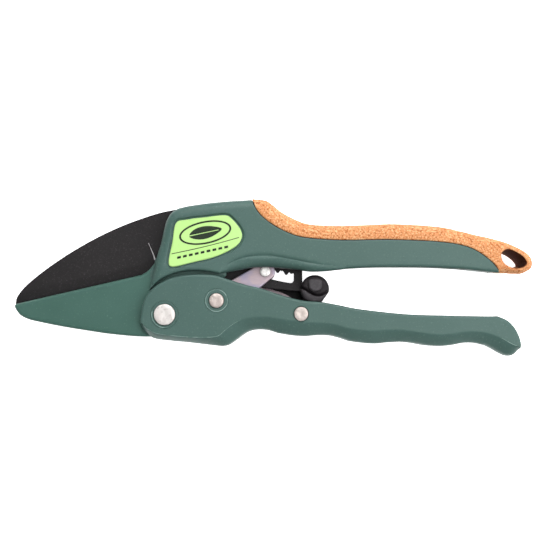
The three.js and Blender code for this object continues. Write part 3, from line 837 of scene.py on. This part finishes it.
LABEL_MIDDLE = np.array([16.0, 32.8])
LABEL_TILT = 0.2
LEAF = ((-6.6, -0.2), (-4.4, 1.9), (-0.6, 2.6), (3.4, 1.9), (6.8, 0.2), (3.6, -1.7), (-0.4, -2.5),
        (-4.2, -1.9))


def on_label(along, across):
    """A place on the label, from its middle, along and across its tilted rows."""
    slant = np.array([math.cos(LABEL_TILT), math.sin(LABEL_TILT)])
    return LABEL_MIDDLE + along * slant + across * np.array([-slant[1], slant[0]])


def oval(long, short):
    angles = np.linspace(0, 2 * math.pi, 72, endpoint=False)
    return np.array([on_label(long * math.cos(a), short * math.sin(a)) for a in angles])


def label():
    """The lime plate with a made-up print: a leaf in an oval, a rule and a row of bars."""
    top = levels("label_plate")[1]
    body = plate("label_face", LABEL, lambda points: top - rolled(away(points, LABEL, True), 0.35),
                 flat(top - 0.7), rows=2, grid=1.2, rings=(0.1, 0.25, 0.45, 0.9))
    shade(body, 50)
    finish_piece(body, LIME, "upper", "label_plate")
    leaf = curve([on_label(*place) for place in LEAF], closed=True)
    vein = [on_label(*place) for place in ((-7, -0.25), (5.4, -0.1), (5.4, 0.15), (-7, 0.1))]
    divide = curve([(2.6, 24.4), (12, 26.4), (21, 28.6), (29.6, 31.0)])
    rule = np.vstack([divide, divide[::-1] - [0, 0.3]])
    bars = [bar((4.9 + 2.35 * k, 22.2 + 0.52 * k), 1.5, 0.9) for k in range(9)]
    for number, loop in enumerate([leaf, rule, oval(10.6, 4.6), *bars]):
        if area(loop) < 0:
            loop = loop[::-1]
        holes = [oval(9.8, 3.9)] if number == 2 else []
        piece = plate(f"label_print_{number}", loop, flat(top + 0.05), flat(top - 0.08), holes, rows=1,
                      edge=0.25, grid=1.0, rings=(0.1,))
        if number == 0:
            combine(piece, [prism(vein, top - 1, top + 1)])
        shade(piece, 50)
        finish_piece(piece, PRINT, "upper", slot="label")


# ---- blade ----
def blade():
    lift = 0.3
    spine = curve([(-62, jaw_top(-62) + lift), (-61.6, 6.9), (-60.2, 9.1), (-58.2, 11.5), (-56, 13.6),
                   (-51.9, 17), (-47.8, 20.1), (-43.7, 22.95), (-39.7, 25.6), (-31.5, 30.4), (-23.4, 34.5),
                   (-15.2, 38), (-6.6, 41), (-1.6, 42.4), (3.4, 43.4)])
    tail = curve([(3.4, 43.4), (10, 41.6), (18, 37), (24, 31), (34, 26.4), (44, 24.4), (52, 22.6),
                  (55, 20.4)])
    back = curve([(54.2, 9.6), (46, 10.4), (38.5, 11.3), (30, 12.2), (24.5, 13), (20.5, 14), (18.6, 15.6),
                  (17.2, 17.6), (14, 18.7), (4, 19.8), (-3.6, 20.4)])
    heel = curve([(-3.6, 20.4), (-6.6, 18.2), (-10.1, jaw_top(-10.1) + lift)])
    edge = spaced([(-10.1, jaw_top(-10.1) + lift), (-62, jaw_top(-62) + lift)], 0.8)
    outline = joined(spine, tail, np.array([(55, 20.4), (55, 10.4), (54.2, 9.6)]), back, heel, edge)
    pivot = circle(BLADE_PIVOT, SMALL_SHAFT_ROOM)
    ground = np.vstack([edge, heel[::-1]])
    bevel_width, bevel_depth, edge_half = 4.2, 0.85, 0.12

    def height(points):
        rise = BLADE_HALF - rolled(away(points, outline, True), 0.3)
        bevel = bevel_depth * np.clip(1 - away(points, ground) / bevel_width, 0, 1)
        return np.maximum(rise - bevel, edge_half)

    guide = spaced(ring_around(outline, -bevel_width), 0.6, True)
    piece = plate("blade_plate", outline, height, holes=[tooth_slot(), pivot], marks=[guide], rows=4,
                  rings=(0.1, 0.2, 0.3, 0.6, 1.2, 2.2), grid=1.6)
    shade(piece, 28)
    finish_piece(piece, BLACK, "blade", "blade")
    scratch()


def tooth_slot():
    """The ratchet slot: a smooth lower edge, and two pointed teeth hanging from the upper one."""
    pitch, first_tooth = 3.5, 44.9
    upper = lambda x: 19.6 - 0.17 * (x - 40) - 0.004 * (x - 40) ** 2
    lower = curve([(38.4, 16.6), (41, 15.1), (45, 14.1), (48.5, 13.4), (50.6, 13.2), (51.5, 14.1)], per=8)
    points = [(37.8, 18.4), *lower, (51.5, 17.2)]
    for tooth in (1, 0):
        tip = first_tooth + tooth * pitch
        points += [(tip + 1.9, upper(tip + 1.9) - 0.5), (tip + 1.3, upper(tip + 1.3) + 0.1),
                   (tip + 0.35, upper(tip) - 1.35), (tip - 0.35, upper(tip) - 1.3),
                   (tip - 1.2, upper(tip) + 0.1), (tip - 1.6, upper(tip - 1.6) + 0.2)]
    points.append((38.4, 19.7))
    return spaced(points, 0.3, True)


def scratch():
    """The fine bright mark beside the blade's heel: a rub scratch, painted bright as a highlight."""
    line = curve([(-7.9, 29.6), (-6.6, 26.6), (-5.6, 24.2), (-5.2, 22.6)], per=10)
    width = np.linspace(0.06, 0.26, len(line))[:, None]
    mark = plate("blade_scratch_glint", ribbon(line, width * [1, 0.3]), flat(BLADE_HALF + 0.03),
                 flat(BLADE_HALF - 0.02), rows=1, edge=0.2, grid=2.0, rings=(0.02,))
    finish_piece(mark, SCRATCH_GLINT, "blade", slot="blade_black")


# ---- lower handle ----
LOWER_TOP = curve([(-9.5, -0.2), (-9.1, 3), (-7.6, 7), (-4.7, 10.6), (0.6, 14), (6.4, 15.6), (13.2, 16.1),
                   (19.9, 15.7), (26.2, 13.8), (32, 12), (38, 10.6), (46.6, 7.8), (54.7, 5.7), (62.8, 5),
                   (69, 3.9), (77.8, 2.2), (95, 0.3), (111.3, -0.3), (127.7, -0.6), (132.8, -0.5)])
LOWER_END = curve([(132.8, -0.6), (136.5, -2.3), (139.4, -5.3), (141.1, -8.8), (141.8, -11.8), (141.4, -13.8),
                   (139.3, -16), (136.6, -16.4), (133.8, -15.3), (130.8, -13.5), (127.7, -12.0)])
LOWER_BOTTOM = curve([(127.7, -12.1), (123.7, -11.2), (119.3, -11.2), (114.4, -12.1), (109.3, -12.5),
                      (104.3, -12.1), (99.3, -11.2), (94.3, -10.8), (88.3, -11.1), (83.8, -11.5),
                      (79.3, -11.2), (73.9, -10.4), (70.3, -9.2), (65.9, -8.2), (61.2, -8.1),
                      (55.8, -8.5), (50.4, -8.1), (45.1, -7.2), (41.5, -6.1), (37.9, -5.7), (34.6, -6.1),
                      (31.8, -7.3), (28.3, -9.9), (26.5, -11.2), (24.9, -12.1), (22.8, -12.5),
                      (19.7, -12.2), (9.6, -11), (1.6, -10.3), (-3.8, -9.6), (-5.8, -8.7), (-8.2, -6.5),
                      (-9.7, -4.1), (-9.6, -0.9)])
SHOULDER = curve([(-9.0, -3.2), (-7.4, -5.2), (-4.7, -6.8), (-1.9, -7.7), (6, -8.6), (14, -9),
                  (20.8, -8.6), (23.8, -6.4), (27.2, -3.8), (31.1, -1.8), (36.8, -0.8), (41.5, -0.9),
                  (46.6, -1.7), (53, -2.5), (59.3, -3.1), (64.6, -3.3), (68.2, -3.9), (73.4, -5.3),
                  (80.6, -6.2), (87.8, -6), (93.7, -5.9), (100.3, -6.8), (106.9, -7.7), (113.6, -7.6),
                  (118.4, -6.8), (123.5, -6.6), (128.4, -7.2), (133.0, -8.9), (136.0, -10.5),
                  (138.6, -11.9), (141.7, -12.9)])


SLOPE_DROP = 3.3                # how far the underside's slope falls from the shoulder to the edge
SLOPE_CURVE = 1.25


def lower_height(points):
    edges = np.vstack([LOWER_BOTTOM[::-1], LOWER_END[::-1][: len(LOWER_END) // 2]])
    height = HALF - rolled(away(points, LOWER_TOP), 0.9) - rolled(away(points, LOWER_END), 1.0)
    shoulder_y = np.interp(points[:, 0], SHOULDER[:, 0], SHOULDER[:, 1])
    under = points[:, 1] < shoulder_y
    from_shoulder = away(points, SHOULDER)
    from_edge = away(points, edges)
    share = from_shoulder / np.maximum(from_shoulder + from_edge, 1e-6)
    height -= np.where(under, SLOPE_DROP * share ** SLOPE_CURVE, 0)
    return height - rolled(from_edge, 0.8) * 0.8


def flank_draft(piece):
    """Draws the wall under the handle's hooked end in towards its back, so it stays hidden from the front."""
    for vertex in piece.data.vertices:
        x, y, z = vertex.co / MM
        flank = smooth_step((x - 122) / 7) * smooth_step((139 - x) / 4) * smooth_step((-10.5 - y) / 1.2)
        vertex.co.y += 1.7 * MM * float(flank) * (1 - min(max(z / 14, 0), 1))


def lower_casting():
    outline = joined(LOWER_TOP, LOWER_END, LOWER_BOTTOM)
    body = plate("lower_casting", outline, lower_height, marks=[spaced(SHOULDER, 0.5)], rows=10)
    web = curve([(6, -8.9), (9.6, -8.6), (19.7, -8.4), (28.2, -7), (33, -4), (37.9, -2.7), (45.1, -4.2),
                 (55.8, -5.5), (65.9, -5.2), (73.9, -7.4), (83.8, -8.5), (94.3, -7.8), (109.3, -9.5),
                 (119.3, -8.2), (127.7, -9.1), (133, -9.5), (136, -8), (135.4, -4.7)])
    channel = np.vstack([[(-14, 30), (-14, -13), (3, -13), (3, -9.1)], web, [(130, -0.2), (130, 30)]])
    combine(body, [prism(channel, -CHANNEL_HALF, CHANNEL_HALF)])
    seats = [(MAIN, MAIN_SEAT, 2.2), (LINK_PIVOT, SMALL_SEAT, 2.2), (CATCH_PIVOT, 3.1, 1.5)]
    for side in (1, -1):
        for centre, radius, depth in seats:
            span = sorted([side * (HALF - depth), side * (HALF + 2)])
            combine(body, [prism(circle(centre, radius, 96), *span)])
    bores = [(MAIN, SHAFT_ROOM), (LINK_PIVOT, SMALL_SHAFT_ROOM), (CATCH_PIVOT, SMALL_SHAFT_ROOM)]
    combine(body, [prism(circle(centre, radius), -HALF - 1, HALF + 1) for centre, radius in bores])
    flank_draft(body)
    shade(body, 30)
    finish_piece(body, GREEN, "lower", "lower_handle")
    hairline()


def hairline():
    """A painted highlight along the shoulder under the lobe, and at the handle's end."""
    parts = [SHOULDER[(SHOULDER[:, 0] > -8.6) & (SHOULDER[:, 0] < 31)],
             SHOULDER[(SHOULDER[:, 0] > 133)]]
    for number, line in enumerate(parts):
        count = len(line)
        width = 0.13 * np.sin(np.linspace(0.15, math.pi - 0.15, count))[:, None] ** 0.6
        face = lambda points: lower_height(points) + 0.02
        under = lambda points: lower_height(points) - 0.1
        # Thin lighter strips: painted highlight on these edges.
        mark = plate(f"highlight_line_{number}", ribbon(line, [0, 1] * width), face, under, rows=1, edge=0.3,
                     grid=3.0, rings=(0.04,))
        finish_piece(mark, WEAR_AND_HIGHLIGHT, "lower", slot="green_paint")


# ---- rivets ----
def rivet(name, node, body, centre, shaft, head, dimple, seed, material):
    back, front = levels(node)
    thick = 1.1
    rim = 0.42
    face = [(head * share, front - 0.02 - 0.1 * share ** 4) for share in (0.2, 0.35, 0.5, 0.62, 0.74)]
    edge = [(head - rim + rim * math.sin(a), front - 0.12 - rim * (1 - math.cos(a)))
            for a in np.linspace(0.1, math.pi / 2, 6)]
    profile = [(0, back), (head - 0.4, back), (head, back + 0.4), (head, back + thick), (shaft, back + thick),
               (shaft, front - thick), (head, front - thick)]
    profile += edge[::-1] + face[::-1] + [(0, front - 0.02)]

    def peened(points):
        radius = np.hypot(points[:, 0] - centre[0], points[:, 1] - centre[1]) / head
        on_face = points[:, 2] > MID + front - 0.7
        dish = -dimple * np.exp(-(radius / 0.34) ** 2)
        rough = np.array([noise.noise(Vector((p[0] * 0.9 + seed, p[1] * 0.9, 0))) for p in points])
        return np.where(on_face, dish + 0.08 * rough * (radius < 0.95) - 0.04, 0)

    piece = turned(name, centre, profile, face=peened)
    finish_piece(piece, material, body, node)


def rivets():
    rivet("main_rivet", "main_pivot_rivet", "upper", MAIN, 2.6, MAIN_HEAD, 0.16, 1, ZINC)
    rivet("small_rivet", "link_rivet", "lower", LINK_PIVOT, 1.8, SMALL_HEAD, 0.14, 5, WARM_ZINC)
    rivet("catch_rivet", "catch_pin", "lower", CATCH_PIVOT, 1.8, 2.8, 0.22, 9, WARM_ZINC)
    # The link pin's head gets the lighter zinc: painted light against its shade.
    rivet("link_pin_head", "link_pin", "link", LINK_PIN, 1.25, 2.1, 0.05, 13, ZINC_PAINTED_LIGHTER)


def painted_ring(name, node, body, centre, seat, head, worn_and_lit_arc):
    """A ring filling its seat flush with the paint, its rim painted lighter between two angles: part wear,
    part painted highlight.
    """
    low, high = levels(node)
    side = 1 if low > 0 else -1
    base = low if side > 0 else high
    face = side * (HALF - 0.12)
    rim = [(seat - 0.62, face), (seat - 0.5, face + side * 0.1), (seat - 0.36, face + side * 0.1),
           (seat - 0.24, face), (seat - 0.03, face - side * 0.1)]
    profile = [(head + 0.25, base), (head + 0.25, face), *rim, (seat - 0.03, base), (head + 0.25, base)]
    if side < 0:
        profile = profile[::-1]
    piece = turned(name, centre, profile, sides=96)
    finish_piece(piece, GREEN, body, node)

    def on_rim(place, normal):
        across, up = place[:2] - centre
        turn = math.degrees(math.atan2(up, across)) % 360
        return (seat - 0.6 < math.hypot(across, up) < seat - 0.26 and abs(place[2] - MID - face) < 0.2
                and worn_and_lit_arc[0] < turn < worn_and_lit_arc[1])

    # Lighter rim: part wear, part painted highlight.
    second_material(piece, WEAR_AND_HIGHLIGHT, on_rim)


def painted_rings():
    """The big ring's rim is painted lighter at its lower left only, the small one's all round: part wear,
    part painted highlight.
    """
    for word in ("front", "back"):
        painted_ring(f"main_ring_{word}", f"pivot_washer_{word}", "upper", MAIN, MAIN_SEAT, MAIN_HEAD,
                     (165, 290))
        painted_ring(f"small_ring_{word}", f"link_washer_{word}", "lower", LINK_PIVOT, SMALL_SEAT, SMALL_HEAD,
                     (0, 360))


# ---- links ----
def link_outline():
    axis = math.atan2(*(LINK_PIN - LINK_PIVOT)[::-1])
    big = [LINK_PIVOT + 4.6 * np.array([math.cos(a), math.sin(a)])
           for a in np.linspace(axis + math.pi / 2, axis + 1.5 * math.pi, 24)]
    small = [LINK_PIN + 3.9 * np.array([math.cos(a), math.sin(a)])
             for a in np.linspace(axis - 1.1, axis + math.pi / 2, 24)]
    return np.vstack([big, [(37.8, 11)], small])


def links():
    outline = link_outline()
    holes = [circle(LINK_PIVOT, 2.1, 48), circle(LINK_PIN, 1.55, 40)]
    for word, node in (("front", "link_plate_front"), ("back", "link_plate_back")):
        near, far = levels(node)

        def height(points):
            return far - rolled(away(points, outline, True), 0.45)

        base = lambda points: near + rolled(away(points, outline, True), 0.2)
        piece = plate(f"link_{word}", outline, height, base, holes=holes, rows=2, edge=0.35,
                      rings=(0.1, 0.2, 0.32, 0.45, 0.9), grid=1.2)
        shade(piece, 35)
        finish_piece(piece, STEEL, "link", node)


# ---- springs ----
def torsion_spring(name, node, body, centre, radius, wire_radius, turns, start, foot, leg, rise=0.35):
    low = node_box(node)[0][2]
    pitch = 2 * wire_radius + rise
    count = int(turns * 40)
    points = [(centre[0] + (radius + foot) * math.cos(start - 0.25),
               centre[1] + (radius + foot) * math.sin(start - 0.25), low + wire_radius)]
    for i in range(count + 1):
        angle = start + 2 * math.pi * turns * i / count
        points.append((centre[0] + radius * math.cos(angle), centre[1] + radius * math.sin(angle),
                       low + wire_radius + pitch * turns * i / count))
    last = points[-1]
    for share in np.linspace(0.1, 1, 8):
        points.append((last[0] + (leg[0] - last[0]) * share, last[1] + (leg[1] - last[1]) * share, last[2]))
    piece = wire(name, points, wire_radius * 0.97)
    finish_piece(piece, WIRE, body, node)


def springs():
    torsion_spring("return_coil", "return_spring", "upper", MAIN, 4.6, 0.6, 2.7, 2.6, 1, (13.6, -7.2))
    torsion_spring("link_coil", "link_spring", "lower", LINK_PIVOT, 2.9, 0.35, 1.7, 0.4, 4, (24, -4.6))
    torsion_spring("catch_coil", "catch_spring", "lower", CATCH_PIVOT, 2.9, 0.45, 2.2, 3.6, 1, (61, -2.6))


# ---- catch knob ----
KNOB_RADIUS = node_box("thumb_button")[1][1] - KNOB[1]
GROOVE = curve([(53.2, 11.4), (55.9, 10.4), (57.7, 9.2), (59.7, 8.2), (61.5, 7.9), (63.7, 8.5), (66.6, 10.6)])
KNOB_FLAT = ((65.9, 9.6), (62.2, 4.4))
GROOVE_DEPTH = 0.9
GROOVE_WIDTH = 0.42
KNOB_STEP = 0.75                # how far the lower face lies under the cap
KNOB_SLOPE = 0.16


def knob_outline(radius):
    """The drum's edge, cut flat at its lower right."""
    ring = circle(KNOB, radius, 120)
    (x1, y1), (x2, y2) = KNOB_FLAT
    length = math.hypot(x2 - x1, y2 - y1)
    beyond = (x2 - x1) * (ring[:, 1] - y1) - (y2 - y1) * (ring[:, 0] - x1)
    inward = np.array([y1 - y2, x2 - x1]) / length
    depth = np.where(beyond > 0, beyond / length, 0)
    return ring + depth[:, None] * inward * np.sign(np.dot(inward, KNOB - np.array([x1, y1])))


def thumb_knob():
    """The drum of the catch: a bevelled cap above a curved groove, and a lower face under it, coloured
    lighter.
    """
    half = half_height("thumb_button")
    outline = knob_outline(KNOB_RADIUS)

    def height(points):
        groove_y = np.interp(points[:, 0], GROOVE[:, 0], GROOVE[:, 1])
        below = points[:, 1] < groove_y
        from_groove = away(points, GROOVE)
        level = half - np.where(below, KNOB_STEP + KNOB_SLOPE * from_groove, 0)
        level -= GROOVE_DEPTH * np.exp(-(from_groove / GROOVE_WIDTH) ** 2)
        return level - rolled(away(points, outline, True), 1.5)

    under = lambda points: -half + rolled(away(points, outline, True), 1.1)
    knob = plate("catch_knob", outline, height, under, marks=[spaced(GROOVE, 0.3)], edge=0.3, grid=0.35,
                 rings=(0.1, 0.25, 0.45, 0.7, 1.0, 1.4), rows=8)
    arm_room = [(50, 0), (70, 0), (66.2, 8.2), (63.9, 12.8), (57.6, 12.8), (57.6, 17), (50, 17)]
    combine(knob, [prism(arm_room, -2.5, 2.5)])
    shade(knob, 45)
    finish_piece(knob, DARK, "catch", "thumb_button")
    # The lower face takes the lighter pad colour.
    second_material(knob, PAD, lambda place, normal: place[2] > MID + half - 3.2
                    and place[1] < np.interp(place[0], *GROOVE.T) - 0.35)


def thumb_pad():
    base, top = levels("thumb_pad")
    corners = curve([(57.6, 14.0), (57.3, 12.2), (57.8, 10.4), (59.0, 9.5), (60.4, 9.3), (62.0, 9.9),
                     (62.8, 11.6), (62.5, 14.0), (60.2, 14.6)], closed=True)
    face_height = lambda points: top - rolled(away(points, corners, True), 0.8)
    pad = plate("catch_pad", corners, face_height, flat(base), rows=3, edge=0.3, grid=0.5,
                rings=(0.1, 0.25, 0.45, 0.7))
    shade(pad, 40)
    finish_piece(pad, PAD, "catch", "thumb_pad")


def catch_leaf():
    """The steel leaf behind the blade's tail, dark where its cover is moulded on."""
    outline = joined(curve([(56, 10.2), (50, 10.7), (46, 11), (38, 11.8), (36.4, 10.4)]),
                     curve([(36.4, 10.4), (40, 8.4), (46, 6.8), (51, 5.8), (56, 5.2)]))
    near, far = levels("catch_leaf")
    face = lambda points: far - rolled(away(points, outline, True), 0.25)
    cover = curve([(37, 12.2), (40.3, 11.4), (44.7, 10.1), (48, 8.9), (50.4, 7.4), (52, 6.2)], per=8)
    leaf = plate("catch_leaf_plate", outline, face, flat(near), rows=2, edge=0.4, grid=0.8,
                 rings=(0.1, 0.2, 0.5), marks=[cover])
    shade(leaf, 40)
    finish_piece(leaf, STEEL, "catch", "catch_leaf")
    second_material(leaf, DARK, lambda place, normal: place[1] > np.interp(place[0], *cover.T)
                    or place[0] > cover[-1][0])


# ---- kept solids ----
def kept_solids():
    """The small inner solids of the frame itself, given a material and a fine bevel."""
    # The anvil strip's lighter green is painted highlight along the anvil's top edge.
    looks = {"anvil_strip": ANVIL_HIGHLIGHT, "blade_pivot_pin": ZINC,
             "link_spacer_front": ZINC, "link_spacer_back": ZINC, "catch_lever": DARK}
    for name, material in looks.items():
        node = frame["nodes"][name]
        node.data.materials.clear()
        node.data.materials.append(material)
        bevel = node.modifiers.new("edge", "BEVEL")
        bevel.width = 0.12 * MM
        bevel.segments = 2
        bevel.limit_method = "ANGLE"
        bevel.angle_limit = math.radians(40)
        shade(node, 35)


# ---- stage ----
FLOOR_REACH = 3000
BOARD_REACH = 2700
BOARD_TALL = 2400
LENS = 60
SENSOR = 36
EYE = (45.9, -10.2, 391)
LEAN = 3.7                      # degrees


def floor():
    reach = FLOOR_REACH
    corners = [(-reach, -reach, 0), (reach, -reach, 0), (reach, reach, 0), (-reach, reach, 0)]
    piece = make_object("floor", corners, [(0, 1, 2, 3)])
    piece.location.z = -0.02 * MM
    piece.data.materials.append(FLOOR)


def area_light(name, place, target, size, power):
    data = bpy.data.lights.new(name, "AREA")
    data.size = size
    data.energy = power
    light = add(name, data)
    light.location = place
    light.rotation_euler = (Vector(target) - Vector(place)).to_track_quat("-Z", "Y").to_euler()


def backdrop():
    """Four white boards round the floor, which carry its white upwards."""
    far, tall = BOARD_REACH, BOARD_TALL
    corners = [(-far, -far), (far, -far), (far, far), (-far, far)]
    for number, (start, end) in enumerate(zip(corners, corners[1:] + corners[:1])):
        sides = [(*start, -1), (*end, -1), (*end, tall), (*start, tall)]
        board = make_object(f"board_{number}", sides, [(0, 1, 2, 3)])
        board.data.materials.append(BOARD)
        board.visible_diffuse = False
        board.visible_glossy = False
        board.visible_shadow = False


def lights():
    aim = (0.04, 0.02, 0.0)
    area_light("key", (0.15, 0.85, 0.9), aim, 0.8, 12)
    area_light("fill", (0.85, -0.05, 0.78), aim, 0.8, 6.5)
    area_light("top", (0.42, 0.05, 1.2), aim, 0.7, 4)
    view = bpy.context.scene.view_settings
    view.view_transform = "Standard"
    world = bpy.data.worlds.new("studio")
    world.use_nodes = True
    background = world.node_tree.nodes["Background"]
    background.inputs["Color"].default_value = (1, 1, 1, 1)
    background.inputs["Strength"].default_value = 0.27
    bpy.context.scene.world = world


def camera():
    """Above the tool, leaning a few degrees towards the upper handle."""
    data = bpy.data.cameras.new("camera")
    data.lens = LENS
    data.sensor_width = SENSOR
    eye = add("camera", data)
    eye.location = [length * MM for length in EYE]
    eye.rotation_euler = (math.radians(LEAN), 0, 0)
    bpy.context.scene.camera = eye


upper_casting()
cork_grip()
seam_shadow()
label()
blade()
lower_casting()
rivets()
painted_rings()
links()
springs()
thumb_knob()
thumb_pad()
catch_leaf()
kept_solids()
floor()
lights()
backdrop()
camera()

bpy.context.view_layer.update()
